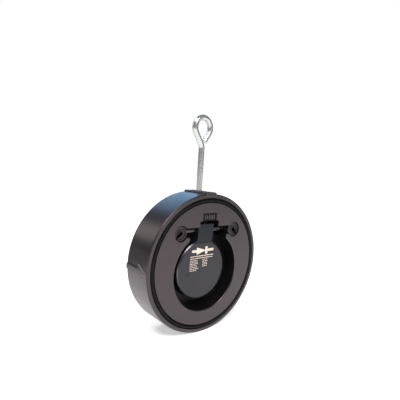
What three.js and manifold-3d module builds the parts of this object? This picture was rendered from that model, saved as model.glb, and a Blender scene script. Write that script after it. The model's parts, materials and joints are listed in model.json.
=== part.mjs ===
// Wafer swing check valve for a plastic pipe of about 90 mm outside diameter (DN 80).
// Millimetres. Origin at the centre of the ring, on the pipe axis; +Z up towards the
// lifting eye; the outlet face looks along -Y and the inlet face along +Y.
import * as THREE from 'three';
import * as BufferGeometryUtils from 'three/addons/utils/BufferGeometryUtils.js';
import Module from 'manifold-3d';

const wasm = await Module();
wasm.setup();

// ---------------------------------------------------------------- driving dimensions
const GAP = 0.3; // clearance between pieces that touch on the real valve

const RING = { radius: 72, halfLength: 18, edgeChamfer: 1.2 };
const FRONT_Y = -RING.halfLength;
const REAR_Y = RING.halfLength;

const FACE_SEAL = { meanRadius: 65.7, wireRadius: 2.0, proud: 0.3 };
const BORE = { centreZ: -7.4, pocketRadius: 41.2, pocketDepth: 16.5, pocketChamfer: 0.8,
  throatRadius: 26, mouthChamfer: 2 };
const FLOOR_Y = FRONT_Y + BORE.pocketDepth;

const HINGE = { y: -6, z: 34.3, opening: 70 };
const SHAFT = { radius: 1.5, halfLength: 33 };
const SLEEVE = { radius: 2.45, innerX: 13.5, outerX: 25 };
const PLUG = { x: 35, radius: 7.5, sink: 1.2, edge: 0.5, holeRadius: 1.9, holeDepth: 7,
  slotWidth: 2, slotDepth: 8, slotAngle: 45, dishInner: 2.9, dishOuter: 5.6, dishDepth: 0.9,
  dishSlope: 0.4 };
const BAY = { halfWidth: 24.4, bottomZ: 22, topZ: 39.1, channelBottomZ: 29.9 };
const NOTCH = { halfWidth: 12.3, topZ: 45.0 };
const PANEL = { halfWidth: 9.1, topZ: 53.1, depth: 0.8 };

const DISC = { radius: 31.65, frontY: -9.8, rearY: -2.3, rimWidth: 1.6, rimDepth: 1.3 };
const DISC_SEAL = { meanRadius: 28.4, wireRadius: 1.5 };
const ARM = { halfWidth: 10.2, topFrontY: -13.6, lowFrontY: -12.6, lowZ: 25.5, footZ: 21.5,
  flareRadius: 6, flareFrontY: -11.2, flareTopZ: 28.5, flareFootZ: 20.5 };

const PAD = { halfWidth: 6.7, topZ: 73.4, rootZ: 69, edge: 0.8 };
const INSERT = { radius: 4.5, boreRadius: 3.25, bottomZ: 57, topZ: 73, floor: 1 };
const EYE = { y: 2, wireRadius: 2.95, loopRadius: 9.8, loopZ: 136.5, legAngle: 33,
  bendRadius: 9, bottomZ: 58.5, endGap: 5.1 };
const ARROW = { rise: 1.4, shaftHalfWidth: 3.4, headHalfWidth: 7.4, headBaseY: -3.6,
  tipY: -17.9 };

const ROUND = 80; // facets of the large circles
const SMALL_ROUND = 28; // facets of pins and plugs
const SEAL_ROUND = 64; // facets of a seal along its ring
const SEAL_SIDES = 8; // facets round the wire of a seal
const ARC_STEPS = 12; // facets of an arc in an extruded outline
const EYE_STEPS = 84; // sections along the wire of the eye
const EYE_ARC_STEPS = 6; // half the facets round that wire
const PAST = 1; // how far a cutter runs past the face it cuts

const rad = THREE.MathUtils.degToRad;

// ---------------------------------------------------------------- solids and booleans
function solid(geometry) {
  const bare = geometry.clone();
  bare.deleteAttribute('normal');
  bare.deleteAttribute('uv');
  const merged = BufferGeometryUtils.mergeVertices(bare, 1e-4);
  return new wasm.Manifold(new wasm.Mesh({
    numProp: 3,
    vertProperties: new Float32Array(merged.attributes.position.array),
    triVerts: new Uint32Array(merged.index.array),
  }));
}

function geometryOf(manifold) {
  const mesh = manifold.getMesh();
  const geometry = new THREE.BufferGeometry();
  geometry.setAttribute('position', new THREE.BufferAttribute(mesh.vertProperties, 3));
  geometry.setIndex(new THREE.BufferAttribute(mesh.triVerts, 1));
  geometry.computeVertexNormals();
  return geometry;
}

const union = (first, ...others) => others.reduce((whole, piece) => whole.add(piece), first);
const cut = (first, ...others) => others.reduce((rest, piece) => rest.subtract(piece), first);

// A turned shape: outline points [radius, y], spun about an axis along Y at (x, z).
function turned(outline, facets, x = 0, z = 0) {
  const points = outline.map(([radius, y]) => new THREE.Vector2(radius, y));
  return solid(new THREE.LatheGeometry(points, facets).translate(x, 0, z));
}

function disk(radius, fromY, toY, facets, x = 0, z = 0) {
  return turned([[0, fromY], [radius, fromY], [radius, toY], [0, toY]], facets, x, z);
}

function shapeOf(points) {
  return new THREE.Shape(points.map(([u, v]) => new THREE.Vector2(u, v)));
}

const FRONT_VIEW = new THREE.Matrix4().makeBasis(
  new THREE.Vector3(1, 0, 0), new THREE.Vector3(0, 0, 1), new THREE.Vector3(0, -1, 0));
const SIDE_VIEW = new THREE.Matrix4().makeBasis(
  new THREE.Vector3(0, 1, 0), new THREE.Vector3(0, 0, 1), new THREE.Vector3(1, 0, 0));

// A plate drawn in the front view (x, z), reaching from fromY to toY.
function plate(shape, fromY, toY) {
  const geometry = new THREE.ExtrudeGeometry(shape, { depth: toY - fromY, bevelEnabled: false });
  return solid(geometry.applyMatrix4(FRONT_VIEW).translate(0, toY, 0));
}

// A plate drawn in the side view (y, z), reaching from fromX to toX.
function sideways(shape, fromX, toX) {
  const geometry = new THREE.ExtrudeGeometry(shape, { depth: toX - fromX, bevelEnabled: false });
  return solid(geometry.applyMatrix4(SIDE_VIEW).translate(fromX, 0, 0));
}

function block(fromX, toX, fromY, toY, fromZ, toZ) {
  return plate(shapeOf([[fromX, fromZ], [toX, fromZ], [toX, toZ], [fromX, toZ]]), fromY, toY);
}

function pinAlongX(radius, fromX, toX, y, z, facets) {
  const geometry = new THREE.CylinderGeometry(radius, radius, toX - fromX, facets);
  return solid(geometry.rotateZ(Math.PI / 2).translate((fromX + toX) / 2, y, z));
}

function pinAlongZ(radius, fromZ, toZ, y, facets) {
  const geometry = new THREE.CylinderGeometry(radius, radius, toZ - fromZ, facets);
  return solid(geometry.rotateX(Math.PI / 2).translate(0, y, (fromZ + toZ) / 2));
}

// ---------------------------------------------------------------- body
function ringBlank() {
  const { radius, edgeChamfer } = RING;
  const inner = FACE_SEAL.meanRadius - FACE_SEAL.wireRadius - GAP;
  const outer = FACE_SEAL.meanRadius + FACE_SEAL.wireRadius + GAP;
  const depth = 2 * FACE_SEAL.wireRadius + GAP - FACE_SEAL.proud;
  const half = [[inner, 0], [inner, depth], [outer, depth], [outer, 0],
    [radius - edgeChamfer, 0], [radius, edgeChamfer]];
  const front = half.map(([r, inwards]) => [r, FRONT_Y + inwards]);
  const rear = half.map(([r, inwards]) => [r, REAR_Y - inwards]).reverse();
  return turned([[0, FRONT_Y], ...front, ...rear, [0, REAR_Y]], ROUND);
}

function boreCut() {
  const { centreZ, pocketRadius, pocketChamfer, throatRadius, mouthChamfer } = BORE;
  return turned([
    [0, FRONT_Y - PAST],
    [pocketRadius + pocketChamfer + PAST, FRONT_Y - PAST],
    [pocketRadius, FRONT_Y + pocketChamfer],
    [pocketRadius, FLOOR_Y],
    [throatRadius, FLOOR_Y],
    [throatRadius, REAR_Y - mouthChamfer],
    [throatRadius + mouthChamfer + PAST, REAR_Y + PAST],
    [0, REAR_Y + PAST],
  ], ROUND, 0, centreZ);
}

function hingeCuts() {
  const start = FRONT_Y - PAST;
  const bay = block(-BAY.halfWidth, BAY.halfWidth, start, FLOOR_Y, BAY.bottomZ, BAY.topZ);
  const channel = block(-PLUG.x, PLUG.x, start, FLOOR_Y, BAY.channelBottomZ, BAY.topZ);
  const notch = block(-NOTCH.halfWidth, NOTCH.halfWidth, start, FLOOR_Y, HINGE.z, NOTCH.topZ);
  const panel = block(-PANEL.halfWidth, PANEL.halfWidth, start, FRONT_Y + PANEL.depth,
    NOTCH.topZ - PAST, PANEL.topZ);
  const seats = [-PLUG.x, PLUG.x].map((x) =>
    disk(PLUG.radius + GAP, start, FLOOR_Y, SMALL_ROUND, x, HINGE.z));
  return union(bay, channel, notch, panel, ...seats);
}

function topPad() {
  const { halfWidth, topZ, rootZ, edge } = PAD;
  const side = [[-halfWidth, rootZ], [halfWidth, rootZ], [halfWidth, topZ - edge],
    [halfWidth - edge, topZ], [edge - halfWidth, topZ], [-halfWidth, topZ - edge]];
  return plate(shapeOf(side), FRONT_Y, REAR_Y);
}

// The raised flow arrow on the side of the ring, pointing at the outlet.
function flowArrow() {
  const { rise, shaftHalfWidth, headHalfWidth, headBaseY, tipY } = ARROW;
  const outline = shapeOf([
    [REAR_Y, -shaftHalfWidth], [REAR_Y, shaftHalfWidth], [headBaseY, shaftHalfWidth],
    [headBaseY, headHalfWidth], [tipY, 0], [headBaseY, -headHalfWidth],
    [headBaseY, -shaftHalfWidth],
  ]);
  const bar = sideways(outline, -RING.radius - rise - PAST, -RING.radius + PAST);
  return bar.intersect(disk(RING.radius + rise, FRONT_Y, REAR_Y, ROUND));
}

function body() {
  const outside = union(ringBlank(), topPad(), flowArrow());
  const insertHole = pinAlongZ(INSERT.radius + GAP, INSERT.bottomZ - GAP, PAD.topZ + PAST,
    EYE.y, SMALL_ROUND);
  return cut(outside, boreCut(), hingeCuts(), insertHole);
}

// ---------------------------------------------------------------- seals
function seal(meanRadius, wireRadius, y, z = 0) {
  const geometry = new THREE.TorusGeometry(meanRadius, wireRadius, SEAL_SIDES, SEAL_ROUND);
  return solid(geometry.rotateX(Math.PI / 2).translate(0, y, z));
}

const faceSealInset = FACE_SEAL.wireRadius - FACE_SEAL.proud;
const frontFaceSeal = () =>
  seal(FACE_SEAL.meanRadius, FACE_SEAL.wireRadius, FRONT_Y + faceSealInset);
const rearFaceSeal = () =>
  seal(FACE_SEAL.meanRadius, FACE_SEAL.wireRadius, REAR_Y - faceSealInset);
const discSealY = FLOOR_Y - GAP - DISC_SEAL.wireRadius;
const discSeal = () =>
  seal(DISC_SEAL.meanRadius, DISC_SEAL.wireRadius, discSealY, BORE.centreZ);

// ---------------------------------------------------------------- disc with its arm
function discPlate() {
  const { radius, frontY, rearY, rimWidth, rimDepth } = DISC;
  return turned([
    [0, frontY], [radius - rimWidth, frontY], [radius, frontY + rimDepth],
    [radius, rearY], [0, rearY],
  ], ROUND, 0, BORE.centreZ);
}

function discSealGroove() {
  const inner = DISC_SEAL.meanRadius - DISC_SEAL.wireRadius - GAP;
  const outer = DISC_SEAL.meanRadius + DISC_SEAL.wireRadius + GAP;
  const grooveY = discSealY - DISC_SEAL.wireRadius - GAP;
  return turned([[inner, grooveY], [outer, grooveY], [outer, REAR_Y], [inner, REAR_Y],
    [inner, grooveY]], ROUND, 0, BORE.centreZ);
}

// Side view of the arm about the hinge axis. Its top face lands flat on the floor of
// the notch when the disc is fully open, and stops it there.
function armProfile() {
  const knuckle = FLOOR_Y - HINGE.y - GAP;
  const stop = rad(HINGE.opening);
  const reach = ARM.topFrontY - HINGE.y;
  const heelZ = (knuckle - reach * Math.cos(stop)) / Math.sin(stop);
  const back = DISC.rearY - HINGE.y;
  const front = DISC.frontY - HINGE.y;
  const shape = new THREE.Shape();
  shape.moveTo(reach, heelZ);
  shape.lineTo(ARM.lowFrontY - HINGE.y, ARM.lowZ - HINGE.z);
  shape.lineTo(front, ARM.footZ - HINGE.z);
  shape.lineTo(back, ARM.footZ - HINGE.z);
  shape.absarc(0, 0, knuckle, -Math.acos(back / knuckle), stop, false);
  return shape;
}

function arm() {
  const { halfWidth } = ARM;
  const geometry = new THREE.ExtrudeGeometry(armProfile(), {
    depth: 2 * halfWidth, bevelEnabled: false, curveSegments: ARC_STEPS });
  return solid(geometry.applyMatrix4(SIDE_VIEW).translate(-halfWidth, HINGE.y, HINGE.z));
}

// The arm widens into the rim of the disc through a rounded corner on each side.
function armFlare() {
  const { halfWidth, flareRadius, flareFrontY, flareTopZ, flareFootZ } = ARM;
  const centreX = halfWidth + flareRadius;
  const toCentre = DISC.radius + flareRadius;
  const rise = Math.sqrt(toCentre ** 2 - centreX ** 2);
  const centreZ = BORE.centreZ + rise;
  const end = Math.atan2(-rise, -centreX);
  const shape = new THREE.Shape();
  shape.moveTo(0, centreZ);
  shape.lineTo(halfWidth, centreZ);
  shape.absarc(centreX, centreZ, flareRadius, Math.PI, end + 2 * Math.PI, false);
  shape.lineTo(0, BORE.centreZ + DISC.radius / 2);
  const right = new THREE.ExtrudeGeometry(shape, {
    depth: DISC.rearY - flareFrontY, bevelEnabled: false, curveSegments: ARC_STEPS });
  const half = solid(right.applyMatrix4(FRONT_VIEW).translate(0, DISC.rearY, 0));
  const slope = sideways(shapeOf([[flareFrontY, flareTopZ], [DISC.frontY, flareFootZ],
    [DISC.frontY, 0], [DISC.rearY, 0], [DISC.rearY, flareTopZ]]), -RING.radius, RING.radius);
  return union(half, half.mirror([1, 0, 0])).intersect(slope);
}

function disc() {
  const { halfWidth } = ARM;
  const shaftHole = pinAlongX(SHAFT.radius + GAP, -halfWidth - PAST, halfWidth + PAST,
    HINGE.y, HINGE.z, SMALL_ROUND);
  return cut(union(discPlate(), arm(), armFlare()), discSealGroove(), shaftHole);
}

// ---------------------------------------------------------------- hinge
const hingeShaft = () => pinAlongX(SHAFT.radius, -SHAFT.halfLength, SHAFT.halfLength,
  HINGE.y, HINGE.z, SMALL_ROUND);

// A loose sleeve on the shaft between the arm and a plug, which keeps the disc centred.
function hingeSleeve(side) {
  const { radius, innerX, outerX } = SLEEVE;
  const [fromX, toX] = side > 0 ? [innerX, outerX] : [-outerX, -innerX];
  return cut(pinAlongX(radius, fromX, toX, HINGE.y, HINGE.z, SMALL_ROUND),
    pinAlongX(SHAFT.radius + GAP, fromX - PAST, toX + PAST, HINGE.y, HINGE.z, SMALL_ROUND));
}

// A split plug that holds one end of the shaft. side is -1 for the left and 1 for the right.
function hingePlug(side) {
  const { radius, sink, edge, holeRadius, holeDepth, slotWidth, slotDepth, slotAngle } = PLUG;
  const { dishInner, dishOuter, dishDepth, dishSlope } = PLUG;
  const frontY = FRONT_Y + sink;
  const rearY = FLOOR_Y - GAP;
  const x = side * PLUG.x;
  const plug = turned([
    [0, frontY], [dishInner, frontY], [dishInner + dishSlope, frontY + dishDepth],
    [dishOuter - dishSlope, frontY + dishDepth], [dishOuter, frontY], [radius - edge, frontY],
    [radius, frontY + edge], [radius, rearY], [0, rearY],
  ], SMALL_ROUND, x, HINGE.z);
  const hole = disk(holeRadius, frontY - PAST, frontY + holeDepth, SMALL_ROUND, x, HINGE.z);
  const slotLength = radius + PAST;
  const slot = new THREE.BoxGeometry(slotLength, slotDepth + PAST, slotWidth)
    .translate(slotLength / 2, frontY + (slotDepth - PAST) / 2, 0)
    .rotateY(rad(side > 0 ? slotAngle : 180 - slotAngle))
    .translate(x, 0, HINGE.z);
  const inwards = SHAFT.halfLength + GAP;
  const shaftBore = pinAlongX(SHAFT.radius + GAP, Math.min(0, side * inwards),
    Math.max(0, side * inwards), HINGE.y, HINGE.z, SMALL_ROUND);
  return cut(plug, hole, solid(slot), shaftBore);
}

// ---------------------------------------------------------------- lifting eye
const threadedInsert = () => cut(
  pinAlongZ(INSERT.radius, INSERT.bottomZ, INSERT.topZ, EYE.y, SMALL_ROUND),
  pinAlongZ(INSERT.boreRadius, INSERT.bottomZ + INSERT.floor, INSERT.topZ + PAST, EYE.y,
    SMALL_ROUND));

// An arc in the upright plane of the eye, turning from one angle to another.
class EyeArc extends THREE.Curve {
  constructor(x, z, radius, from, to) {
    super();
    Object.assign(this, { x, z, radius, from, to });
  }

  getPoint(t) {
    const angle = this.from + (this.to - this.from) * t;
    return new THREE.Vector3(this.x + this.radius * Math.cos(angle), EYE.y,
      this.z + this.radius * Math.sin(angle));
  }
}

// The wire rises straight, leans left into the loop, turns over the top and comes back
// down on the right until its cut end rests against the stem.
function eyePath() {
  const { y, loopRadius, loopZ, bendRadius, bottomZ, endGap } = EYE;
  const lean = rad(EYE.legAngle);
  const apexZ = loopZ - loopRadius / Math.sin(lean);
  const bendStartZ = apexZ - bendRadius * Math.tan(lean / 2);
  const legStart = new EyeArc(-bendRadius, bendStartZ, bendRadius, 0, lean);
  const leftTangent = new THREE.Vector3(-loopRadius * Math.cos(lean), y,
    loopZ - loopRadius * Math.sin(lean));
  const rightTangent = leftTangent.clone().setX(-leftTangent.x);
  const end = new THREE.Vector3(endGap * Math.sin(lean), y, apexZ + endGap * Math.cos(lean));
  const path = new THREE.CurvePath();
  path.add(new THREE.LineCurve3(new THREE.Vector3(0, y, bottomZ), legStart.getPoint(0)));
  path.add(legStart);
  path.add(new THREE.LineCurve3(legStart.getPoint(1), leftTangent));
  path.add(new EyeArc(0, loopZ, loopRadius, Math.PI + lean, -lean));
  path.add(new THREE.LineCurve3(rightTangent, end));
  return path;
}

function eyeBolt() {
  const section = new THREE.Shape().absarc(0, 0, EYE.wireRadius, 0, 2 * Math.PI);
  return solid(new THREE.ExtrudeGeometry(section, {
    extrudePath: eyePath(), steps: EYE_STEPS, curveSegments: EYE_ARC_STEPS }));
}

// ---------------------------------------------------------------- assembly
const darkPlastic = new THREE.MeshStandardMaterial({
  color: 0x4a4647, roughness: 0.45, metalness: 0 });
const discPlastic = new THREE.MeshStandardMaterial({
  color: 0x3d3d40, roughness: 0.4, metalness: 0 });
const plugPlastic = new THREE.MeshStandardMaterial({
  color: 0x504c4c, roughness: 0.5, metalness: 0 });
const rubber = new THREE.MeshStandardMaterial({ color: 0x151515, roughness: 0.6, metalness: 0 });
const steel = new THREE.MeshStandardMaterial({ color: 0x9a9a98, roughness: 0.35, metalness: 1 });
const zinc = new THREE.MeshStandardMaterial({ color: 0xb9bdc0, roughness: 0.25, metalness: 1 });
const brass = new THREE.MeshStandardMaterial({ color: 0xb08d4a, roughness: 0.35, metalness: 1 });

const valve = new THREE.Group();

function add(name, manifold, material) {
  const mesh = new THREE.Mesh(geometryOf(manifold), material);
  mesh.name = name;
  valve.add(mesh);
}

add('body', body(), darkPlastic);
add('front_face_seal', frontFaceSeal(), rubber);
add('rear_face_seal', rearFaceSeal(), rubber);
add('disc', disc(), discPlastic);
add('disc_seal', discSeal(), rubber);
add('hinge_shaft', hingeShaft(), steel);
add('hinge_sleeve_left', hingeSleeve(-1), plugPlastic);
add('hinge_sleeve_right', hingeSleeve(1), plugPlastic);
add('hinge_plug_left', hingePlug(-1), plugPlastic);
add('hinge_plug_right', hingePlug(1), plugPlastic);
add('threaded_insert', threadedInsert(), brass);
add('eye_bolt', eyeBolt(), zinc);

export default valve;
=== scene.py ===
"""Looks of a plastic wafer check valve with a wire lifting eye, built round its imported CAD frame.

Metres, +Z up towards the eye, -Y out of the outlet face. The sizes of the valve are written in
millimetres and turned into metres by mm(); places in the studio are in metres.
"""

import json
import math

import bmesh
import bpy
from mathutils import Matrix, Vector


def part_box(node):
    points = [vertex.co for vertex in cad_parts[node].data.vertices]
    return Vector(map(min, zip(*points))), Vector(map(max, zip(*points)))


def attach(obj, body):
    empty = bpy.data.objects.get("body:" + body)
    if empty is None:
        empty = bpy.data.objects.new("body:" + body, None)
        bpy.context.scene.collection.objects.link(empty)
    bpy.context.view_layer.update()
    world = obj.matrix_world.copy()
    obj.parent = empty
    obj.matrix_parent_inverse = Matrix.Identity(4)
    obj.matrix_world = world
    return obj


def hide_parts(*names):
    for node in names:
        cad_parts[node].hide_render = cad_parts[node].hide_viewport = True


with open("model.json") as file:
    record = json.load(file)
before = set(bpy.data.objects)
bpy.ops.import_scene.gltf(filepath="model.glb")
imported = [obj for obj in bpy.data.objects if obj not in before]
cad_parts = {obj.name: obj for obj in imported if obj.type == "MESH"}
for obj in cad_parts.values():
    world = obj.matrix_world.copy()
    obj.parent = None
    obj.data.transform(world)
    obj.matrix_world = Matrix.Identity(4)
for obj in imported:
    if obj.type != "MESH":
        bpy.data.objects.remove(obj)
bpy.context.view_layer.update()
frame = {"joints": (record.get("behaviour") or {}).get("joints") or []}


def mm(value):
    return value * 0.001


# ---------------------------------------------------------------- sizes taken from the frame
def joint_origin(name):
    return next(Vector(j["pos_m"]) for j in frame["joints"] if j["name"] == name)


BODY_LOW, BODY_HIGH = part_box("body")
DISC_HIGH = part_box("disc")[1]
SEAL_LOW, SEAL_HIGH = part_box("front_face_seal")
DISC_SEAL_LOW, DISC_SEAL_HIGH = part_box("disc_seal")
PLUG_LOW, PLUG_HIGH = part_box("hinge_plug_right")
SHAFT_LOW, SHAFT_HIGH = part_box("hinge_shaft")
SLEEVE_LOW, SLEEVE_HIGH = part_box("hinge_sleeve_right")
INSERT_LOW, INSERT_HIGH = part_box("threaded_insert")
EYE_LOW, EYE_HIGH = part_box("eye_bolt")

RING_RADIUS = BODY_HIGH.x
FRONT_Y, REAR_Y = BODY_LOW.y, BODY_HIGH.y
PAD_TOP = BODY_HIGH.z
ARROW_RADIUS = -BODY_LOW.x
HINGE = joint_origin("flap_swing")
BORE_Z = (DISC_SEAL_LOW.z + DISC_SEAL_HIGH.z) / 2
DISC_RADIUS = DISC_HIGH.x
PLUG_RADIUS = (PLUG_HIGH.x - PLUG_LOW.x) / 2
PLUG_X = (PLUG_LOW.x + PLUG_HIGH.x) / 2
FACE_SEAL_WIRE = (SEAL_HIGH.y - SEAL_LOW.y) / 2
FACE_SEAL_MEAN = SEAL_HIGH.x - FACE_SEAL_WIRE
DISC_SEAL_WIRE = (DISC_SEAL_HIGH.y - DISC_SEAL_LOW.y) / 2
DISC_SEAL_MEAN = DISC_SEAL_HIGH.x - DISC_SEAL_WIRE
WIRE_RADIUS = (EYE_HIGH.y - EYE_LOW.y) / 2
EYE_Y = (EYE_HIGH.y + EYE_LOW.y) / 2
GAP = mm(0.3)
FLOOR_Y = PLUG_HIGH.y + GAP

# ---------------------------------------------------------------- sizes of the moulded details
EDGE_CHAMFER = mm(0.7)
POCKET_RADIUS, POCKET_EDGE_WIDTH, POCKET_EDGE_DEPTH = mm(41.2), mm(0.8), mm(0.65)
THROAT_RADIUS = mm(26)
MOUTH_CHAMFER = mm(2)
BAY_HALF, BAY_TOP, CHANNEL_BOTTOM = mm(24.4), mm(39.1), mm(29.9)
NOTCH_HALF, NOTCH_TOP = mm(12.3), mm(45.0)
PANEL_HALF, PANEL_TOP, PANEL_DEPTH = mm(9.1), mm(53.1), mm(1.0)
PAD_HALF, PAD_ROOT, PAD_EDGE = mm(6.7), mm(69), mm(0.8)
ARROW_SHAFT_HALF, ARROW_HEAD_HALF = mm(3.4), mm(7.4)
ARROW_HEAD_BASE, ARROW_TIP, ARROW_TAIL, ARROW_SLOPE = mm(-3.6), mm(-17.9), mm(16.8), 0.7
ARROW_ROOT, ARROW_ABOVE = mm(-2), mm(2.5)
DISC_FRONT_Y, DISC_REAR_Y = mm(-9.8), mm(-2.3)
DISC_RIM_WIDTH, DISC_RIM_DEPTH = mm(1.6), mm(1.3)
ARM_HALF, ARM_TOP_Y, ARM_LOW_Y = mm(10.2), mm(-13.6), mm(-12.6)
ARM_LOW_Z, ARM_FOOT_Z = mm(25.5), mm(21.5)
FLARE_RADIUS, FLARE_FRONT_Y = mm(6), mm(-11.2)
FLARE_TOP_Z, FLARE_FOOT_Z = mm(28.5), mm(20.5)
OPENING = math.radians(70)
LOOP_RADIUS, LOOP_Z = mm(9.8), mm(136.5)
LEG_ANGLE, BEND_RADIUS, END_GAP = math.radians(33), mm(9), mm(5.1)
PLUG_HOLE, PLUG_HOLE_DEPTH, PLUG_EDGE_WIDTH = mm(1.9), mm(7), mm(0.5)
PLUG_SLOT_WIDTH, PLUG_SLOT_DEPTH = mm(2), mm(8)
DISH_INNER, DISH_OUTER, DISH_DEPTH, DISH_SLOPE = mm(2.9), mm(5.6), mm(0.9), mm(0.4)
PIN_EDGE, SLEEVE_EDGE, INSERT_EDGE, INSERT_FLOOR = mm(0.3), mm(0.25), mm(0.4), mm(1)

# ---------------------------------------------------------------- rounding of the edges
BODY_ROUNDING, DISC_ROUNDING, PLUG_ROUNDING, EYE_ROUNDING = mm(0.3), mm(0.5), mm(0.15), mm(0.35)
EYE_SHARP = 60

# ---------------------------------------------------------------- fineness and working sizes
ROUND = 256
SMALL_ROUND = 96
WIRE_ROUND, SEAL_ROUND = 48, 32
ARC_STEPS, SEAT_STEPS, LOOP_STEPS = 24, 64, 120
STEM_STEPS, LEG_STEPS = 40, 12
ON_AXIS = 1e-7
FACE_AREA_WEIGHT = 100
MERGE_DISTANCE, FLAT_ANGLE = mm(0.005), math.radians(0.2)
# PAST and FAR_PAST are how far a cutter stands out of the face it cuts.
PAST, FAR_PAST = mm(1), mm(3)

# ---------------------------------------------------------------- material slots of a piece
# EDGE holds a painted highlight; the third slot holds painted shade.
MAIN, EDGE, PAINTED_SHADE, PANEL = range(4)


# ---------------------------------------------------------------- mesh tools
def new_object(name, mesh):
    obj = bpy.data.objects.new(name, mesh)
    bpy.context.scene.collection.objects.link(obj)
    return obj


def mesh_from(name, verts, faces):
    mesh = bpy.data.meshes.new(name)
    mesh.from_pydata([tuple(v) for v in verts], [], faces)
    mesh.validate()
    return new_object(name, mesh)


def outward(obj):
    """Makes the faces of a closed mesh point outwards."""
    bm = bmesh.new()
    bm.from_mesh(obj.data)
    bmesh.ops.recalc_face_normals(bm, faces=bm.faces)
    bm.to_mesh(obj.data)
    bm.free()
    return obj


def about_x(y, z):
    return lambda u, v, w: (w, y + u, z + v)


def about_y(x, z):
    return lambda u, v, w: (x + u, w, z + v)


def about_z(x, y):
    return lambda u, v, w: (x + u, y + v, w)


def turned(name, outline, place, facets=ROUND):
    """Spins a closed outline of (radius, distance along the axis) points about the axis of place."""
    verts, rings = [], []
    for radius, along in outline:
        if radius < ON_AXIS:
            rings.append([len(verts)] * facets)
            verts.append(place(0, 0, along))
            continue
        rings.append(list(range(len(verts), len(verts) + facets)))
        for k in range(facets):
            angle = 2 * math.pi * k / facets
            verts.append(place(radius * math.sin(angle), radius * math.cos(angle), along))
    faces = []
    for near, far in zip(rings, rings[1:] + rings[:1]):
        for k in range(facets):
            nxt = (k + 1) % facets
            corners = list(dict.fromkeys([near[k], near[nxt], far[nxt], far[k]]))
            if len(corners) > 2:
                faces.append(corners)
    return outward(mesh_from(name, verts, faces))


def prism(name, outline, low, high, place):
    """Extrudes a flat outline from low to high; place(u, v, w) gives each point."""
    count = len(outline)
    verts = [place(u, v, low) for u, v in outline] + [place(u, v, high) for u, v in outline]
    faces = [list(range(count)), list(range(count, 2 * count))]
    faces += [[k, (k + 1) % count, count + (k + 1) % count, count + k] for k in range(count)]
    return outward(mesh_from(name, verts, faces))


def front_prism(name, outline, low, high):
    return prism(name, outline, low, high, lambda x, z, y: (x, y, z))


def side_prism(name, outline, low, high):
    return prism(name, outline, low, high, lambda y, z, x: (x, y, z))


def arc(cx, cy, radius, start, end, steps):
    """Points of an arc, both ends included; angles in radians."""
    return [(cx + radius * math.cos(start + (end - start) * k / steps),
             cy + radius * math.sin(start + (end - start) * k / steps))
            for k in range(steps + 1)]


def apply_modifiers(obj):
    """Bakes the modifiers of an object into its mesh."""
    graph = bpy.context.evaluated_depsgraph_get()
    mesh = bpy.data.meshes.new_from_object(obj.evaluated_get(graph))
    obj.modifiers.clear()
    old = obj.data
    obj.data = mesh
    bpy.data.meshes.remove(old)
    return obj


def boolean(obj, operation, *others):
    """Cuts or joins other objects into obj and removes them."""
    for other in others:
        modifier = obj.modifiers.new("boolean", "BOOLEAN")
        modifier.operation = operation
        modifier.solver = "MANIFOLD"
        modifier.object = other
        apply_modifiers(obj)
        bpy.data.objects.remove(other)
    return obj


def cleaned(obj):
    """Merges doubled points and the flat faces that booleans split."""
    bm = bmesh.new()
    bm.from_mesh(obj.data)
    bmesh.ops.remove_doubles(bm, verts=bm.verts, dist=MERGE_DISTANCE)
    bmesh.ops.dissolve_limit(bm, angle_limit=FLAT_ANGLE, verts=bm.verts, edges=bm.edges,
                             delimit={"NORMAL"})
    bm.to_mesh(obj.data)
    bm.free()
    return obj


def rounded(obj, width, segments=3, angle=32):
    """Rounds the edges that turn by more than angle; the new faces get the second material."""
    cleaned(obj)
    for name in ("surface", "edge"):
        obj.data.materials.append(bpy.data.materials.new(name))
    bevel = obj.modifiers.new("edges", "BEVEL")
    bevel.width = width
    bevel.segments = segments
    bevel.limit_method = "ANGLE"
    bevel.angle_limit = math.radians(angle)
    bevel.use_clamp_overlap = False
    bevel.miter_outer = "MITER_ARC"
    bevel.harden_normals = True
    bevel.material = EDGE
    obj.data.shade_smooth()
    return apply_modifiers(obj)


def smooth(obj, angle=35):
    """Shades an object smooth, but keeps the edges that turn by more than angle sharp."""
    obj.data.shade_smooth()
    obj.data.set_sharp_from_angle(angle=math.radians(angle))
    weighted = obj.modifiers.new("normals", "WEIGHTED_NORMAL")
    weighted.keep_sharp = True
    weighted.weight = FACE_AREA_WEIGHT
    return apply_modifiers(obj)


def swept(name, path, radius, sides):
    """A round wire along a path that stays in one plane of x and z, closed at both ends."""
    normal = Vector((0, 1, 0))
    verts, faces = [], []
    for k, point in enumerate(path):
        before, after = path[max(k - 1, 0)], path[min(k + 1, len(path) - 1)]
        along = (after - before).normalized()
        across = normal.cross(along)
        for s in range(sides):
            angle = 2 * math.pi * s / sides
            verts.append(point + across * radius * math.cos(angle)
                         + normal * radius * math.sin(angle))
    for k in range(len(path) - 1):
        for s in range(sides):
            t = (s + 1) % sides
            faces.append([k * sides + s, k * sides + t, (k + 1) * sides + t,
                          (k + 1) * sides + s])
    faces += [list(range(sides)), list(range((len(path) - 1) * sides, len(path) * sides))]
    return outward(mesh_from(name, verts, faces))


# ---------------------------------------------------------------- body
def ring_blank():
    """The solid ring with its chamfered edges and the groove of the seal in each face."""
    inner, outer = FACE_SEAL_MEAN - FACE_SEAL_WIRE - GAP, FACE_SEAL_MEAN + FACE_SEAL_WIRE + GAP
    depth = SEAL_HIGH.y + GAP - FRONT_Y
    half = [(inner, 0), (inner, depth), (outer, depth), (outer, 0),
            (RING_RADIUS - EDGE_CHAMFER, 0), (RING_RADIUS, EDGE_CHAMFER)]
    front = [(radius, FRONT_Y + inwards) for radius, inwards in half]
    rear = [(radius, REAR_Y - inwards) for radius, inwards in reversed(half)]
    return turned("valve_body", [(0, FRONT_Y), *front, *rear, (0, REAR_Y)], about_y(0, 0))


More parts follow.
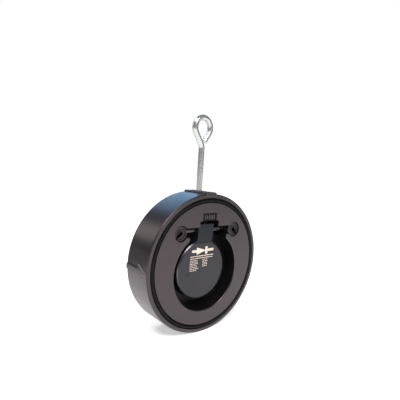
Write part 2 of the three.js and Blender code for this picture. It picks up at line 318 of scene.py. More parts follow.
def face_opening():
    """Pocket, hinge bay, shaft channels, plug seats and heel notch, cut as one outline."""
    seat = PLUG_RADIUS + GAP
    over = math.pi - math.asin((BAY_TOP - HINGE.z) / seat)
    under = -math.pi + math.asin((HINGE.z - CHANNEL_BOTTOM) / seat)
    rim = math.acos(BAY_HALF / POCKET_RADIUS)
    right = [(NOTCH_HALF, NOTCH_TOP), (NOTCH_HALF, BAY_TOP),
             *arc(PLUG_X, HINGE.z, seat, over, under, SEAT_STEPS), (BAY_HALF, CHANNEL_BOTTOM)]
    left = [(-x, z) for x, z in reversed(right)]
    pocket = arc(0, BORE_Z, POCKET_RADIUS, rim, -math.pi - rim, ROUND)
    return front_prism("opening", [*right, *pocket, *left], FRONT_Y - FAR_PAST, FLOOR_Y)


def pocket_chamfer():
    """A cone, as far out of the face as into it, that breaks the edge of the pocket."""
    wide = POCKET_RADIUS + 2 * POCKET_EDGE_WIDTH
    high, low = FRONT_Y - POCKET_EDGE_DEPTH, FRONT_Y + POCKET_EDGE_DEPTH
    outline = [(0, high), (wide, high), (POCKET_RADIUS, low), (0, low)]
    return turned("chamfer", outline, about_y(0, BORE_Z))


def throat():
    """The round way in from the inlet face, wider at its mouth."""
    outline = [(0, FLOOR_Y - FAR_PAST), (THROAT_RADIUS, FLOOR_Y - FAR_PAST),
               (THROAT_RADIUS, REAR_Y - MOUTH_CHAMFER),
               (THROAT_RADIUS + MOUTH_CHAMFER + PAST, REAR_Y + PAST), (0, REAR_Y + PAST)]
    return turned("throat", outline, about_y(0, BORE_Z))


def rectangle(half_width, low, high):
    return [(-half_width, low), (half_width, low), (half_width, high), (-half_width, high)]


def top_pad():
    """The flat pad under the lifting eye."""
    corner = PAD_HALF - PAD_EDGE
    side = [(-PAD_HALF, PAD_ROOT), (PAD_HALF, PAD_ROOT), (PAD_HALF, PAD_TOP - PAD_EDGE),
            (corner, PAD_TOP), (-corner, PAD_TOP), (-PAD_HALF, PAD_TOP - PAD_EDGE)]
    return front_prism("pad", side, FRONT_Y, REAR_Y)


def arrow_outline(grow):
    """The arrow in side view, made larger all round by grow."""
    lean = math.atan2(ARROW_HEAD_HALF, ARROW_HEAD_BASE - ARROW_TIP)
    shaft, base = ARROW_SHAFT_HALF + grow, ARROW_HEAD_BASE + grow
    head = ARROW_HEAD_HALF + grow * (1 + math.sin(lean)) / math.cos(lean)
    tip = ARROW_TIP - grow / math.sin(lean)
    return [(ARROW_TAIL, -shaft), (ARROW_TAIL, shaft), (base, shaft), (base, head), (tip, 0),
            (base, -head), (base, -shaft)]


def flow_arrow():
    """The arrow with sloping sides, cut to the round of the ring."""
    verts, faces = [], []
    for height in (ARROW_ROOT, 0, ARROW_ABOVE):
        outline = arrow_outline(-ARROW_SLOPE * max(height, 0))
        verts += [(-RING_RADIUS - height, y, z) for y, z in outline]
    count = len(outline)
    for start in (0, count):
        faces += [[start + k, start + (k + 1) % count, start + count + (k + 1) % count,
                   start + count + k] for k in range(count)]
    faces += [list(range(count)), list(range(2 * count, 3 * count))]
    skin = turned("skin", [(0, FRONT_Y), (ARROW_RADIUS, FRONT_Y), (ARROW_RADIUS, REAR_Y),
                           (0, REAR_Y)], about_y(0, 0))
    return boolean(outward(mesh_from("arrow", verts, faces)), "INTERSECT", skin)


def valve_body():
    body = ring_blank()
    boolean(body, "UNION", top_pad(), flow_arrow())
    panel = front_prism("panel", rectangle(PANEL_HALF, NOTCH_TOP - PAST, PANEL_TOP),
                        FRONT_Y - FAR_PAST, FRONT_Y + PANEL_DEPTH)
    wide, low, high = INSERT_HIGH.x + GAP, INSERT_LOW.z - GAP, PAD_TOP + FAR_PAST
    hole = turned("hole", [(0, low), (wide, low), (wide, high), (0, high)], about_z(0, EYE_Y),
                  SMALL_ROUND)
    boolean(body, "DIFFERENCE", face_opening(), pocket_chamfer(), throat(), panel, hole)
    return rounded(body, BODY_ROUNDING)


# ---------------------------------------------------------------- disc and hinge
def disc_plate():
    """The round plate, with a sloping rim at its front."""
    outline = [(0, DISC_FRONT_Y), (DISC_RADIUS - DISC_RIM_WIDTH, DISC_FRONT_Y),
               (DISC_RADIUS, DISC_FRONT_Y + DISC_RIM_DEPTH), (DISC_RADIUS, DISC_REAR_Y),
               (0, DISC_REAR_Y)]
    return turned("swing_disc", outline, about_y(0, BORE_Z))


def arm():
    """The arm in side view about the hinge; its top face is the stop of the open disc."""
    knuckle = FLOOR_Y - HINGE.y - GAP
    reach = ARM_TOP_Y - HINGE.y
    heel = (knuckle - reach * math.cos(OPENING)) / math.sin(OPENING)
    back = DISC_REAR_Y - HINGE.y
    round_back = arc(0, 0, knuckle, -math.acos(back / knuckle), OPENING, ARC_STEPS)
    profile = [(reach, heel), (ARM_LOW_Y - HINGE.y, ARM_LOW_Z - HINGE.z),
               (DISC_FRONT_Y - HINGE.y, ARM_FOOT_Z - HINGE.z), (back, ARM_FOOT_Z - HINGE.z),
               *round_back]
    outline = [(HINGE.y + y, HINGE.z + z) for y, z in profile]
    return side_prism("arm", outline, -ARM_HALF, ARM_HALF)


def arm_flare():
    """Rounded corners where the arm runs into the rim of the disc."""
    centre_x = ARM_HALF + FLARE_RADIUS
    rise = math.sqrt((DISC_RADIUS + FLARE_RADIUS) ** 2 - centre_x ** 2)
    centre_z = BORE_Z + rise
    end = 2 * math.pi + math.atan2(-rise, -centre_x)
    right = [(ARM_HALF, centre_z), *arc(centre_x, centre_z, FLARE_RADIUS, math.pi, end, ARC_STEPS),
             (0, BORE_Z + DISC_RADIUS / 2)]
    left = [(-x, z) for x, z in reversed(right[:-1])]
    flare = front_prism("flare", right + left, FLARE_FRONT_Y, DISC_REAR_Y)
    slope = side_prism("slope", [(FLARE_FRONT_Y, FLARE_TOP_Z), (DISC_FRONT_Y, FLARE_FOOT_Z),
                                 (DISC_FRONT_Y, 0), (DISC_REAR_Y, 0),
                                 (DISC_REAR_Y, FLARE_TOP_Z)], -RING_RADIUS, RING_RADIUS)
    return boolean(flare, "INTERSECT", slope)


def swing_disc():
    """The plate and its arm in one piece, with the groove of the seal and the hinge bore."""
    disc = disc_plate()
    boolean(disc, "UNION", arm(), arm_flare())
    inner, outer = DISC_SEAL_MEAN - DISC_SEAL_WIRE - GAP, DISC_SEAL_MEAN + DISC_SEAL_WIRE + GAP
    groove_y = DISC_SEAL_LOW.y - GAP
    groove = turned("groove", [(inner, groove_y), (outer, groove_y), (outer, FLOOR_Y),
                               (inner, FLOOR_Y)], about_y(0, BORE_Z))
    radius, side = SHAFT_HIGH.y - HINGE.y + GAP, ARM_HALF + PAST
    bore = turned("bore", [(0, -side), (radius, -side), (radius, side), (0, side)],
                  about_x(HINGE.y, HINGE.z), SMALL_ROUND)
    boolean(disc, "DIFFERENCE", groove, bore)
    return rounded(disc, DISC_ROUNDING)


def hinge_shaft():
    low, high, radius = SHAFT_LOW.x, SHAFT_HIGH.x, SHAFT_HIGH.y - HINGE.y
    outline = [(0, low), (radius - PIN_EDGE, low), (radius, low + PIN_EDGE),
               (radius, high - PIN_EDGE), (radius - PIN_EDGE, high), (0, high)]
    return smooth(turned("hinge_pin", outline, about_x(HINGE.y, HINGE.z), SMALL_ROUND))


def sleeve(side, name):
    """A loose sleeve on the shaft; side is -1 for the left and 1 for the right."""
    low, high = sorted((side * SLEEVE_LOW.x, side * SLEEVE_HIGH.x))
    outer, inner = SLEEVE_HIGH.y - HINGE.y, SHAFT_HIGH.y - HINGE.y + GAP
    outline = [(inner, low), (outer - SLEEVE_EDGE, low), (outer, low + SLEEVE_EDGE),
               (outer, high - SLEEVE_EDGE), (outer - SLEEVE_EDGE, high), (inner, high)]
    return smooth(turned(name, outline, about_x(HINGE.y, HINGE.z), SMALL_ROUND))


def plug(side, name):
    """A split plug that holds one end of the shaft; side is -1 for the left and 1 for the right."""
    x, front, rear = side * PLUG_X, PLUG_LOW.y, PLUG_HIGH.y
    place = about_y(x, HINGE.z)
    body = turned(name, [
        (0, front), (DISH_INNER, front), (DISH_INNER + DISH_SLOPE, front + DISH_DEPTH),
        (DISH_OUTER - DISH_SLOPE, front + DISH_DEPTH), (DISH_OUTER, front),
        (PLUG_RADIUS - PLUG_EDGE_WIDTH, front), (PLUG_RADIUS, front + PLUG_EDGE_WIDTH),
        (PLUG_RADIUS, rear), (0, rear),
    ], place, SMALL_ROUND)
    hole = turned("hole", [(0, front - PAST), (PLUG_HOLE, front - PAST),
                           (PLUG_HOLE, front + PLUG_HOLE_DEPTH), (0, front + PLUG_HOLE_DEPTH)],
                  place, SMALL_ROUND)
    along = Vector((side, -1)).normalized()
    across = Vector((-along.y, along.x)) * PLUG_SLOT_WIDTH / 2
    centre = Vector((x, HINGE.z))
    tip = centre + along * (PLUG_RADIUS + PAST)
    slot = front_prism("slot", [centre + across, tip + across, tip - across, centre - across],
                       front - PAST, front + PLUG_SLOT_DEPTH)
    low, high = sorted((0, side * (SHAFT_HIGH.x + GAP)))
    radius = SHAFT_HIGH.y - HINGE.y + GAP
    bore = turned("bore", [(0, low), (radius, low), (radius, high), (0, high)],
                  about_x(HINGE.y, HINGE.z), SMALL_ROUND)
    boolean(body, "DIFFERENCE", hole, slot, bore)
    return rounded(body, PLUG_ROUNDING, segments=2)


def seal_ring(name, mean, wire, y, z=0.0):
    """An O-ring of a mean radius and a wire radius about an axis along y."""
    section = [(mean + wire * math.cos(a), y + wire * math.sin(a))
               for a in (2 * math.pi * k / SEAL_ROUND for k in range(SEAL_ROUND))]
    return smooth(turned(name, section, about_y(0, z)), angle=180)


# ---------------------------------------------------------------- lifting eye
def between(start, end, steps):
    """Points along a straight line, without its start and with its end."""
    return [(start[0] + (end[0] - start[0]) * k / steps, start[1] + (end[1] - start[1]) * k / steps)
            for k in range(1, steps + 1)]


def eye_path():
    """The middle line of the wire: stem, bend, left leg, loop and the free right leg."""
    apex = LOOP_Z - LOOP_RADIUS / math.sin(LEG_ANGLE)
    bend = apex - BEND_RADIUS * math.tan(LEG_ANGLE / 2)
    tangent_x, tangent_z = LOOP_RADIUS * math.cos(LEG_ANGLE), LOOP_Z - LOOP_RADIUS * math.sin(LEG_ANGLE)
    stem = [(0, EYE_LOW.z + (bend - EYE_LOW.z) * k / STEM_STEPS) for k in range(STEM_STEPS)]
    lean = arc(-BEND_RADIUS, bend, BEND_RADIUS, 0, LEG_ANGLE, ARC_STEPS)
    left_leg = between(lean[-1], (-tangent_x, tangent_z), LEG_STEPS)[:-1]
    loop = arc(0, LOOP_Z, LOOP_RADIUS, math.pi + LEG_ANGLE, -LEG_ANGLE, LOOP_STEPS)
    end = (END_GAP * math.sin(LEG_ANGLE), apex + END_GAP * math.cos(LEG_ANGLE))
    right_leg = between((tangent_x, tangent_z), end, LEG_STEPS)
    return [Vector((x, EYE_Y, z)) for x, z in [*stem, *lean, *left_leg, *loop, *right_leg]]


def eye_bolt():
    return rounded(swept("lifting_eye", eye_path(), WIRE_RADIUS, WIRE_ROUND), EYE_ROUNDING,
                   angle=EYE_SHARP)


def insert():
    outer, inner, edge = INSERT_HIGH.x, WIRE_RADIUS + GAP, INSERT_EDGE
    low, high, floor = INSERT_LOW.z, INSERT_HIGH.z, INSERT_LOW.z + INSERT_FLOOR
    outline = [(0, low), (outer, low), (outer, high - edge), (outer - edge, high),
               (inner + edge, high), (inner, high - edge), (inner, floor), (0, floor)]
    return smooth(turned("eye_insert", outline, about_z(0, EYE_Y), SMALL_ROUND))


# ---------------------------------------------------------------- materials
class Material:
    """A node material, with short ways to add and link nodes."""

    def __init__(self, name):
        self.material = bpy.data.materials.new(name)
        self.material.use_nodes = True
        self.tree = self.material.node_tree
        self.shader = self.tree.nodes["Principled BSDF"]

    def node(self, kind, **settings):
        made = self.tree.nodes.new(kind)
        for key, value in settings.items():
            if key in made.inputs:
                made.inputs[key].default_value = value
            else:
                setattr(made, key, value)
        return made

    def link(self, source, target):
        self.tree.links.new(source, target)

    def set(self, **values):
        for key, value in values.items():
            self.shader.inputs[key.replace("_", " ")].default_value = value

    def noise(self, scale, detail=3.0, roughness=0.5):
        place = self.node("ShaderNodeTexCoord").outputs["Object"]
        noise = self.node("ShaderNodeTexNoise", Scale=scale, Detail=detail, Roughness=roughness)
        self.link(place, noise.inputs["Vector"])
        return noise.outputs["Fac"]

    def ramp(self, source, stops):
        ramp = self.node("ShaderNodeValToRGB")
        for k, (position, colour) in enumerate(stops):
            stop = ramp.color_ramp.elements[k] if k < 2 else ramp.color_ramp.elements.new(position)
            stop.position, stop.color = position, (*colour, 1)
        self.link(source, ramp.inputs["Fac"])
        return ramp.outputs["Color"]

    def span(self, source, low, high, start=0.15, end=0.85):
        """Maps a texture value onto a plain range."""
        change = self.node("ShaderNodeMapRange")
        for key, value in (("From Min", start), ("From Max", end), ("To Min", low), ("To Max", high)):
            change.inputs[key].default_value = value
        self.link(source, change.inputs["Value"])
        return change.outputs["Result"]

    def bump(self, source, strength, distance):
        bump = self.node("ShaderNodeBump", Strength=strength, Distance=distance)
        self.link(source, bump.inputs["Height"])
        self.link(bump.outputs["Normal"], self.shader.inputs["Normal"])


FLOW_MARK_SCALE, GLOSS_CLOUD_SCALE, ORANGE_PEEL_SCALE = 60, 120, 700
GLOSSIER, DULLER = 0.015, 0.055


def moulded_plastic(name, dark, light, tint, gloss, roughness, index=1.5):
    """Satin moulded plastic: faint flow marks, cloudy gloss and fine orange peel."""
    mat = Material(name)
    mat.link(mat.ramp(mat.noise(FLOW_MARK_SCALE), [(0.15, dark), (0.85, light)]),
             mat.shader.inputs["Base Color"])
    mat.link(mat.span(mat.noise(GLOSS_CLOUD_SCALE), roughness - GLOSSIER, roughness + DULLER),
             mat.shader.inputs["Roughness"])
    mat.bump(mat.noise(ORANGE_PEEL_SCALE, 2), strength=0.05, distance=mm(0.05))
    mat.set(Specular_IOR_Level=gloss, Specular_Tint=(*tint, 1), IOR=index)
    return mat.material


def rubber():
    """Smooth black rubber with a weak gloss."""
    mat = Material("black_rubber")
    mat.link(mat.ramp(mat.noise(300), [(0.3, (0.004, 0.004, 0.004)), (0.7, (0.007, 0.007, 0.007))]),
             mat.shader.inputs["Base Color"])
    mat.link(mat.span(mat.noise(500), 0.18, 0.24), mat.shader.inputs["Roughness"])
    # The pinkish specular tint is a painted reflection of the surroundings.
    mat.set(IOR=1.15, Specular_Tint=(1.0, 0.86, 0.94, 1))
    mat.bump(mat.noise(3000), strength=0.1, distance=mm(0.04))
    return mat.material


def plated_steel():
    """Bright zinc plating with faint clouding and small dents."""
    mat = Material("zinc_plating")
    mat.link(mat.ramp(mat.noise(180, 4), [(0.25, (0.44, 0.45, 0.45)), (0.75, (0.54, 0.55, 0.54))]),
             mat.shader.inputs["Base Color"])
    mat.set(Metallic=0.8)
    mat.link(mat.span(mat.noise(400, 4), 0.19, 0.26), mat.shader.inputs["Roughness"])
    mat.bump(mat.noise(500, 3), strength=0.04, distance=mm(0.03))
    return mat.material


def machined_metal(name, dark, light):
    """Bare turned or ground metal, a little uneven in colour and gloss."""
    mat = Material(name)
    mat.link(mat.ramp(mat.noise(250, 4), [(0.3, dark), (0.7, light)]),
             mat.shader.inputs["Base Color"])
    mat.set(Metallic=1.0)
    mat.link(mat.span(mat.noise(700, 3), 0.29, 0.4), mat.shader.inputs["Roughness"])
    mat.bump(mat.noise(2000, 2), strength=0.1, distance=mm(0.03))
    return mat.material


def printed_ink():
    """Pale pad-printed ink, a little thin in places."""
    mat = Material("printed_ink")
    mat.link(mat.ramp(mat.noise(900, 4), [(0.25, (0.45, 0.37, 0.31)), (0.6, (0.82, 0.70, 0.60))]),
             mat.shader.inputs["Base Color"])
    mat.link(mat.span(mat.noise(600), 0.45, 0.6), mat.shader.inputs["Roughness"])
    mat.bump(mat.noise(1500), strength=0.1, distance=mm(0.03))
    return mat.material


# The bluish specular tint of the arm is a painted reflection.
BODY_TINT, DISC_TINT, ARM_REFLECTION_TINT = (1.0, 0.81, 0.86), (0.97, 0.93, 1.0), (0.82, 0.87, 1.0)
BODY_PLASTIC = moulded_plastic("body_plastic", (0.008, 0.007, 0.0075), (0.011, 0.009, 0.010),
                               BODY_TINT, 0.66, 0.30)
# Painted highlight: a lighter, glossier copy of the body plastic on the rounded edges and the pocket
# rim.
BODY_HIGHLIGHT_EDGE = moulded_plastic("body_plastic_painted_highlight", (0.014, 0.012, 0.013),
                            (0.030, 0.027, 0.028), BODY_TINT, 0.9, 0.20)
# Painted shade: a darker copy of the body plastic inside the pocket, the bay and the channels.
POCKET_PAINTED_SHADE = moulded_plastic("pocket_plastic_painted_shade", (0.004, 0.004, 0.004), (0.007, 0.006, 0.007),
                                 BODY_TINT, 0.35, 0.32, 1.25)
PANEL_PLASTIC = moulded_plastic("panel_plastic", (0.006, 0.005, 0.006), (0.010, 0.008, 0.009),
                                BODY_TINT, 0.36, 0.32)
DISC_PLASTIC = moulded_plastic("disc_plastic", (0.007, 0.007, 0.007), (0.010, 0.009, 0.010),
                               DISC_TINT, 0.42, 0.30)
# Painted highlight: a lighter, glossier copy of the disc plastic on its rounded edges and sloping rim.
DISC_HIGHLIGHT_EDGE = moulded_plastic("disc_plastic_painted_highlight", (0.012, 0.012, 0.012),
                            (0.026, 0.025, 0.026), DISC_TINT, 0.9, 0.20)
# Painted shade and a painted bluish reflection: a darker copy of the disc plastic on the arm.
ARM_PAINTED_SHADE = moulded_plastic("arm_plastic_painted_shade", (0.007, 0.008, 0.009), (0.010, 0.011, 0.013),
                              ARM_REFLECTION_TINT, 0.18, 0.38)
PLUG_PLASTIC = moulded_plastic("plug_plastic", (0.008, 0.007, 0.008), (0.012, 0.010, 0.011),
                               BODY_TINT, 0.4, 0.34)
# Painted highlight: a lighter, glossier copy of the plug plastic on its rounded edges.
PLUG_HIGHLIGHT_EDGE = moulded_plastic("plug_plastic_painted_highlight", (0.014, 0.012, 0.013),
                            (0.028, 0.025, 0.026), BODY_TINT, 0.6, 0.21)
SLEEVE_PLASTIC = moulded_plastic("sleeve_plastic", (0.030, 0.030, 0.032), (0.045, 0.044, 0.047),
                                 DISC_TINT, 0.8, 0.32)
RUBBER = rubber()
ZINC = plated_steel()
STEEL = machined_metal("stainless_pin", (0.35, 0.35, 0.36), (0.5, 0.5, 0.51))
BRASS = machined_metal("turned_brass", (0.5, 0.34, 0.13), (0.68, 0.5, 0.22))
PRINT = printed_ink()


# ---------------------------------------------------------------- markings
PRINT_THICK, PRINT_SUNK = mm(0.08), mm(0.1)
SYMBOL_LEFT, SYMBOL_RIGHT, SYMBOL_Z = mm(-14), mm(15), mm(13)
SYMBOL_HALF, SYMBOL_LINE, SYMBOL_TIP = mm(3.8), mm(1.3), mm(0.4)
SYMBOL_NOSE, SYMBOL_BAR = mm(3.5), mm(3.0)
RULE_LEFT, RULE_RIGHT, RULE_LOW, RULE_HIGH = mm(-16), mm(15), mm(7.2), mm(7.9)

# The rows of dashes, in millimetres.
WORDS = (2.2, 1.4, 3.0, 1.0, 2.6, 1.8, 1.2, 2.0)
WORD_GAP, SHORTEST_WORD = 0.7, 0.4
HEADER_LEFT, HEADER_RIGHT, HEADER_Z, HEADER_HEIGHT, HEADER_FIRST = -16, 14, 4.9, 0.8, 4
ROW_TOP, ROW_PITCH, ROW_HEIGHT = 3.0, 1.75, 0.6
LEFT_COLUMN, LEFT_ROWS, LEFT_RAG, LEFT_FIRST = (-16, -6.5), 7, 3, 0
RIGHT_COLUMN, RIGHT_ROWS, RIGHT_RAG, RIGHT_FIRST = (0.5, 7), 5, 2, 3

DISC_MARKS = ((mm(-20.4), mm(0.7)), (mm(-18.9), mm(1.6)), (mm(-16.2), mm(0.7)))
DISC_MARK_LOW, DISC_MARK_HIGH, DISC_MARK_RAISED = mm(-13.2), mm(-9.4), mm(0.25)
OPEN_RING_X, OPEN_RING_Z, OPEN_RING_OUTER, OPEN_RING_INNER = mm(-4.7), mm(48.9), mm(1.9), mm(1.1)
OPEN_RING_START, OPEN_RING_END, OPEN_RING_STEPS = math.radians(-80), math.radians(260), 32
PANEL_BARS, PANEL_BAR_WIDTH = (mm(-1.4), mm(0.8), mm(3.0), mm(5.2)), mm(0.9)
PANEL_BAR_LOW, PANEL_BAR_HIGH, PANEL_MARK_RAISED = mm(46.6), mm(51.0), mm(0.5)
MARK_SUNK = mm(0.2)


def flat_pieces(name, outlines, front, back):
    """One object of several thin flat pieces in the front view."""
    pieces = [front_prism(name, outline, front, back) for outline in outlines]
    verts, faces = [], []
    for piece in pieces:
        start = len(verts)
        verts += [v.co.copy() for v in piece.data.vertices]
        faces += [[start + k for k in p.vertices] for p in piece.data.polygons]
        bpy.data.objects.remove(piece)
    return mesh_from(name, verts, faces)


def bar(x0, x1, z0, z1):
    """An upright rectangle in the front view."""
    return [(x0, z0), (x1, z0), (x1, z1), (x0, z1)]


def words(x0, x1, z, height, first):
    """A line of plain dashes, as long as words, from x0 to x1 in millimetres."""
    made, x, k = [], x0, first
    while x < x1 - SHORTEST_WORD:
        end = min(x + WORDS[k % len(WORDS)], x1)
        made.append(bar(mm(x), mm(end), mm(z), mm(z + height)))
        x, k = end + WORD_GAP, k + 1
    return made


def valve_symbol():
    """The usual diagram sign of a non-return valve: a triangle against a bar, on a line."""
    tail = SYMBOL_NOSE - 3 * SYMBOL_HALF
    low, high = SYMBOL_Z - SYMBOL_LINE, SYMBOL_Z + SYMBOL_LINE
    return [bar(SYMBOL_LEFT, tail, low, high),
            [(tail, SYMBOL_Z - SYMBOL_HALF), (SYMBOL_NOSE, SYMBOL_Z - SYMBOL_TIP),
             (SYMBOL_NOSE, SYMBOL_Z + SYMBOL_TIP), (tail, SYMBOL_Z + SYMBOL_HALF)],
            bar(SYMBOL_NOSE, SYMBOL_NOSE + SYMBOL_BAR, SYMBOL_Z - SYMBOL_HALF,
                SYMBOL_Z + SYMBOL_HALF),
            bar(SYMBOL_NOSE + SYMBOL_BAR, SYMBOL_RIGHT, low, high)]


def column(span, rows, rag, first):
    """Rows of dashes between the two ends of span, with a ragged right edge."""
    start, end = span
    made = []
    for row in range(rows):
        made += words(start, end + row % rag, ROW_TOP - ROW_PITCH * row, ROW_HEIGHT, row + first)
    return made


def disc_print():
    """The symbol, a rule, a line of dashes and two columns of them."""
    outlines = [*valve_symbol(), bar(RULE_LEFT, RULE_RIGHT, RULE_LOW, RULE_HIGH),
                *words(HEADER_LEFT, HEADER_RIGHT, HEADER_Z, HEADER_HEIGHT, HEADER_FIRST),
                *column(LEFT_COLUMN, LEFT_ROWS, LEFT_RAG, LEFT_FIRST),
                *column(RIGHT_COLUMN, RIGHT_ROWS, RIGHT_RAG, RIGHT_FIRST)]
    return flat_pieces("disc_print", outlines, DISC_FRONT_Y - PRINT_THICK,
                       DISC_FRONT_Y + PRINT_SUNK)


def disc_mark():
    """Faint moulded bars at the lower left of the disc."""
    outlines = [bar(x, x + width, DISC_MARK_LOW, DISC_MARK_HIGH) for x, width in DISC_MARKS]
    return flat_pieces("disc_mark", outlines, DISC_FRONT_Y - DISC_MARK_RAISED,
                       DISC_FRONT_Y + MARK_SUNK)


def panel_marks():
    """A raised open ring and four bars on the sunk panel above the notch."""
    floor_y = FRONT_Y + PANEL_DEPTH
    outer, inner = [arc(OPEN_RING_X, OPEN_RING_Z, radius, OPEN_RING_START, OPEN_RING_END,
                        OPEN_RING_STEPS) for radius in (OPEN_RING_OUTER, OPEN_RING_INNER)]
    bars = [bar(x, x + PANEL_BAR_WIDTH, PANEL_BAR_LOW, PANEL_BAR_HIGH) for x in PANEL_BARS]
    return flat_pieces("panel_marks", [[*outer, *reversed(inner)], *bars],
                       floor_y - PANEL_MARK_RAISED, floor_y + MARK_SUNK)


# ---------------------------------------------------------------- assembly
def place_piece(obj, materials, body, slot, *nodes):
    """Gives a piece its materials and its body, and hides the CAD nodes it stands for; slot is not
    used.
    """
    obj.data.materials.clear()
    for material in materials:
        obj.data.materials.append(material)
    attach(obj, body)
    if nodes:
        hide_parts(*nodes)
    return obj


CHAMFER_STEEP, CHAMFER_FLAT = -0.5, -0.9
POCKET_LIP, FLOOR_MARGIN, FLAT_MARGIN, SEAL_BAND = mm(1), mm(0.1), mm(0.05), mm(4)


def is_chamfer(face, radius):
    """Tells whether a face slopes to the front within a radius about the axis of the bore."""
    slopes = CHAMFER_FLAT < face.normal.y < CHAMFER_STEEP
    return slopes and math.hypot(face.center.x, face.center.z - BORE_Z) < radius


def finish_pocket(body):
    """Painted shade: darker, duller inside the pocket and bay. Darker, duller panel. Painted highlight
    on the pocket rim.
    """
    for face in body.data.polygons:
        inside = FRONT_Y + POCKET_LIP < face.center.y < FLOOR_Y + FLOOR_MARGIN
        if inside and math.hypot(face.center.x, face.center.z) < FACE_SEAL_MEAN - SEAL_BAND:
            face.material_index = PAINTED_SHADE
        elif abs(face.center.y - FRONT_Y - PANEL_DEPTH) < FLAT_MARGIN:
            face.material_index = PANEL
        elif is_chamfer(face, POCKET_RADIUS + POCKET_EDGE_WIDTH):
            face.material_index = EDGE


def finish_disc(disc):
    """Painted shade and a painted bluish reflection on the arm above the plate; a painted highlight on
    the plate's rim.
    """
    for face in disc.data.polygons:
        if face.center.z > ARM_FOOT_Z and face.material_index == MAIN:
            face.material_index = PAINTED_SHADE
        elif is_chamfer(face, DISC_RADIUS):
            face.material_index = EDGE


BODY_LOOK = (BODY_PLASTIC, BODY_HIGHLIGHT_EDGE, POCKET_PAINTED_SHADE, PANEL_PLASTIC)
DISC_LOOK = (DISC_PLASTIC, DISC_HIGHLIGHT_EDGE, ARM_PAINTED_SHADE)
PLUG_LOOK = (PLUG_PLASTIC, PLUG_HIGHLIGHT_EDGE)
FRONT_SEAL_Y = (SEAL_LOW.y + SEAL_HIGH.y) / 2
DISC_SEAL_Y = (DISC_SEAL_LOW.y + DISC_SEAL_HIGH.y) / 2

finish_pocket(place_piece(valve_body(), BODY_LOOK, "valve_body", "body_plastic", "body"))
# The raised panel marks take the lighter plastic of the painted edge highlight.
place_piece(panel_marks(), (BODY_HIGHLIGHT_EDGE,), "valve_body", "body_plastic")
place_piece(seal_ring("outlet_seal", FACE_SEAL_MEAN, FACE_SEAL_WIRE, FRONT_SEAL_Y), (RUBBER,),
            "valve_body", "seal_rubber", "front_face_seal")
place_piece(seal_ring("inlet_seal", FACE_SEAL_MEAN, FACE_SEAL_WIRE, -FRONT_SEAL_Y), (RUBBER,),
            "valve_body", "seal_rubber", "rear_face_seal")
place_piece(plug(-1, "left_plug"), PLUG_LOOK, "valve_body", "plug_plastic", "hinge_plug_left")
place_piece(plug(1, "right_plug"), PLUG_LOOK, "valve_body", "plug_plastic", "hinge_plug_right")
place_piece(insert(), (BRASS,), "valve_body", "insert_brass", "threaded_insert")
place_piece(eye_bolt(), (ZINC, ZINC), "valve_body", "zinc_steel", "eye_bolt")

finish_disc(place_piece(swing_disc(), DISC_LOOK, "flap", "disc_plastic", "disc"))
place_piece(disc_print(), (PRINT,), "flap", "disc_plastic")
place_piece(disc_mark(), (DISC_PLASTIC,), "flap", "disc_plastic")
place_piece(seal_ring("flap_seal", DISC_SEAL_MEAN, DISC_SEAL_WIRE, DISC_SEAL_Y, BORE_Z),
            (RUBBER,), "flap", "seal_rubber", "disc_seal")
place_piece(hinge_shaft(), (STEEL,), "flap", "shaft_metal", "hinge_shaft")
place_piece(sleeve(-1, "left_sleeve"), (SLEEVE_PLASTIC,), "flap", "plug_plastic",
            "hinge_sleeve_left")
place_piece(sleeve(1, "right_sleeve"), (SLEEVE_PLASTIC,), "flap", "plug_plastic",
            "hinge_sleeve_right")


# ---------------------------------------------------------------- floor, light and camera
FLOOR_HALF = 6.0
BACKDROP_RADIUS, BACKDROP_START, BACKDROP_LOW, BACKDROP_SIDES = 5.8, -0.2, 0.5, 64


def pale_floor():
    """A plain pale floor under the valve, which glows a little so that it stays even."""
    z = BODY_LOW.z
    corners = [(-FLOOR_HALF, -FLOOR_HALF, z), (FLOOR_HALF, -FLOOR_HALF, z),
               (FLOOR_HALF, FLOOR_HALF, z), (-FLOOR_HALF, FLOOR_HALF, z)]
    plane = mesh_from("floor", corners, [[0, 1, 2, 3]])
    mat = Material("pale_floor")
    mat.set(Base_Color=(0.9, 0.9, 0.9, 1), Roughness=0.9, Specular_IOR_Level=0.1,
            Emission_Color=(1, 1, 1, 1), Emission_Strength=0.5)
    plane.data.materials.append(mat.material)


def pale_backdrop():
    """A white dome behind everything, which the camera sees but which lights nothing."""
    outline = arc(0, BODY_LOW.z, BACKDROP_RADIUS, BACKDROP_START, math.pi / 2, ARC_STEPS)
    dome = turned("backdrop", [*outline, (0, BODY_LOW.z - BACKDROP_LOW)], about_z(0, 0),
                  BACKDROP_SIDES)
    mat = Material("white_backdrop")
    mat.set(Base_Color=(0, 0, 0, 1), Emission_Color=(1, 1, 1, 1), Emission_Strength=1.0,
            Specular_IOR_Level=0.0)
    dome.data.materials.append(mat.material)
    for ray in ("diffuse", "glossy", "shadow", "transmission"):
        setattr(dome, "visible_" + ray, False)


WORLD_STRENGTH = 0.08


def overhead_sun(direction, power, spread):
    """A distant soft light for floor and surfaces; its own image shows in no gloss."""
    data = bpy.data.lights.new("overhead", "SUN")
    data.energy, data.angle = power, math.radians(spread)
    lamp = bpy.data.objects.new("overhead", data)
    lamp.rotation_euler = Vector(direction).to_track_quat("Z", "Y").to_euler()
    lamp.visible_glossy = False
    bpy.context.scene.collection.objects.link(lamp)


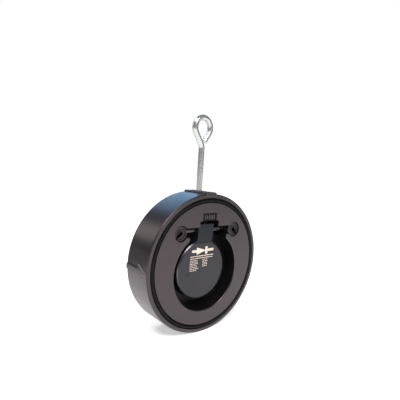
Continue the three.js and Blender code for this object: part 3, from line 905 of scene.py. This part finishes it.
def dark_flag(low, high):
    """An upright dark card that shows in glossy surfaces only, as a studio flag does."""
    corners = [(low[0], low[1], low[2]), (high[0], high[1], low[2]),
               (high[0], high[1], high[2]), (low[0], low[1], high[2])]
    card = mesh_from("dark_flag", corners, [[0, 1, 2, 3]])
    mat = Material("flag_cloth")
    mat.set(Base_Color=(0.05, 0.05, 0.05, 1), Roughness=1.0, Specular_IOR_Level=0.0,
            Emission_Color=(1, 0.97, 0.92, 1), Emission_Strength=0.25)
    card.data.materials.append(mat.material)
    for ray in ("camera", "diffuse", "shadow", "transmission"):
        setattr(card, "visible_" + ray, False)


def soft_light(name, place, size, power, colour=(1, 1, 1), only_gloss=False):
    """A soft box of a width and a height that faces the middle of the valve."""
    data = bpy.data.lights.new(name, "AREA")
    data.shape, data.energy, data.color = "RECTANGLE", power, colour
    data.size, data.size_y = size
    lamp = bpy.data.objects.new(name, data)
    lamp.location = place
    lamp.rotation_euler = Vector(place).to_track_quat("Z", "Y").to_euler()
    lamp.visible_camera = False
    lamp.visible_diffuse = not only_gloss
    bpy.context.scene.collection.objects.link(lamp)


def studio():
    """A dim white room, the soft light from above, the soft boxes and the flag."""
    world = bpy.data.worlds.new("studio")
    bpy.context.scene.world = world
    world.use_nodes = True
    background = world.node_tree.nodes["Background"]
    background.inputs["Color"].default_value = (1, 1, 1, 1)
    background.inputs["Strength"].default_value = WORLD_STRENGTH
    overhead_sun((-0.35, -0.2, 0.9), power=1.8, spread=30)
    dark_flag((-0.50, 0.20, BODY_LOW.z), (-0.03, 0.28, 0.0))
    soft_light("key", (-0.24, -0.85, 0.88), (0.9, 0.3), 12)
    soft_light("front_fill", (0.52, -1.05, 0.22), (0.7, 0.8), 0.8, (1.0, 0.97, 0.97))
    soft_light("back_left", (-0.60, 1.0, 0.50), (0.3, 0.4), 1.0, (1.0, 0.96, 0.92))
    soft_light("sky_window", (0.38, 1.08, 0.63), (0.85, 0.8), 4.3, (0.34, 0.66, 1.0), only_gloss=True)
    soft_light("top_box", (-0.55, 0.32, 1.1), (0.6, 0.6), 6)
    bpy.context.scene.view_settings.view_transform = "Standard"


CAMERA_AZIMUTH, CAMERA_ELEVATION, CAMERA_ROLL = (math.radians(a) for a in (-39.27, 8.98, 3.39))
CAMERA_DISTANCE = mm(363.74)
CAMERA_ACROSS, CAMERA_UP = mm(-6.19), mm(40.58)
CAMERA_LENS, CAMERA_SENSOR, CAMERA_SHIFT, CAMERA_NEAR = 30.91, 36, (0.025, 0.055), 0.01


def camera():
    """The camera, turned about the valve by its azimuth, elevation and roll."""
    data = bpy.data.cameras.new("camera")
    data.lens, data.sensor_width = CAMERA_LENS, CAMERA_SENSOR
    data.shift_x, data.shift_y = CAMERA_SHIFT
    data.clip_start = CAMERA_NEAR
    cam = bpy.data.objects.new("camera", data)
    bpy.context.scene.collection.objects.link(cam)
    level = math.cos(CAMERA_ELEVATION)
    back = Vector((math.sin(CAMERA_AZIMUTH) * level, -math.cos(CAMERA_AZIMUTH) * level,
                   math.sin(CAMERA_ELEVATION)))
    right = Vector((math.cos(CAMERA_AZIMUTH), math.sin(CAMERA_AZIMUTH), 0))
    up = back.cross(right)
    turn = Matrix.Rotation(CAMERA_ROLL, 3, back)
    right, up = turn @ right, turn @ up
    cam.matrix_world = Matrix((right, up, back)).transposed().to_4x4()
    cam.location = right * CAMERA_ACROSS + up * CAMERA_UP + back * CAMERA_DISTANCE
    bpy.context.scene.camera = cam


pale_floor()
pale_backdrop()
studio()
camera()
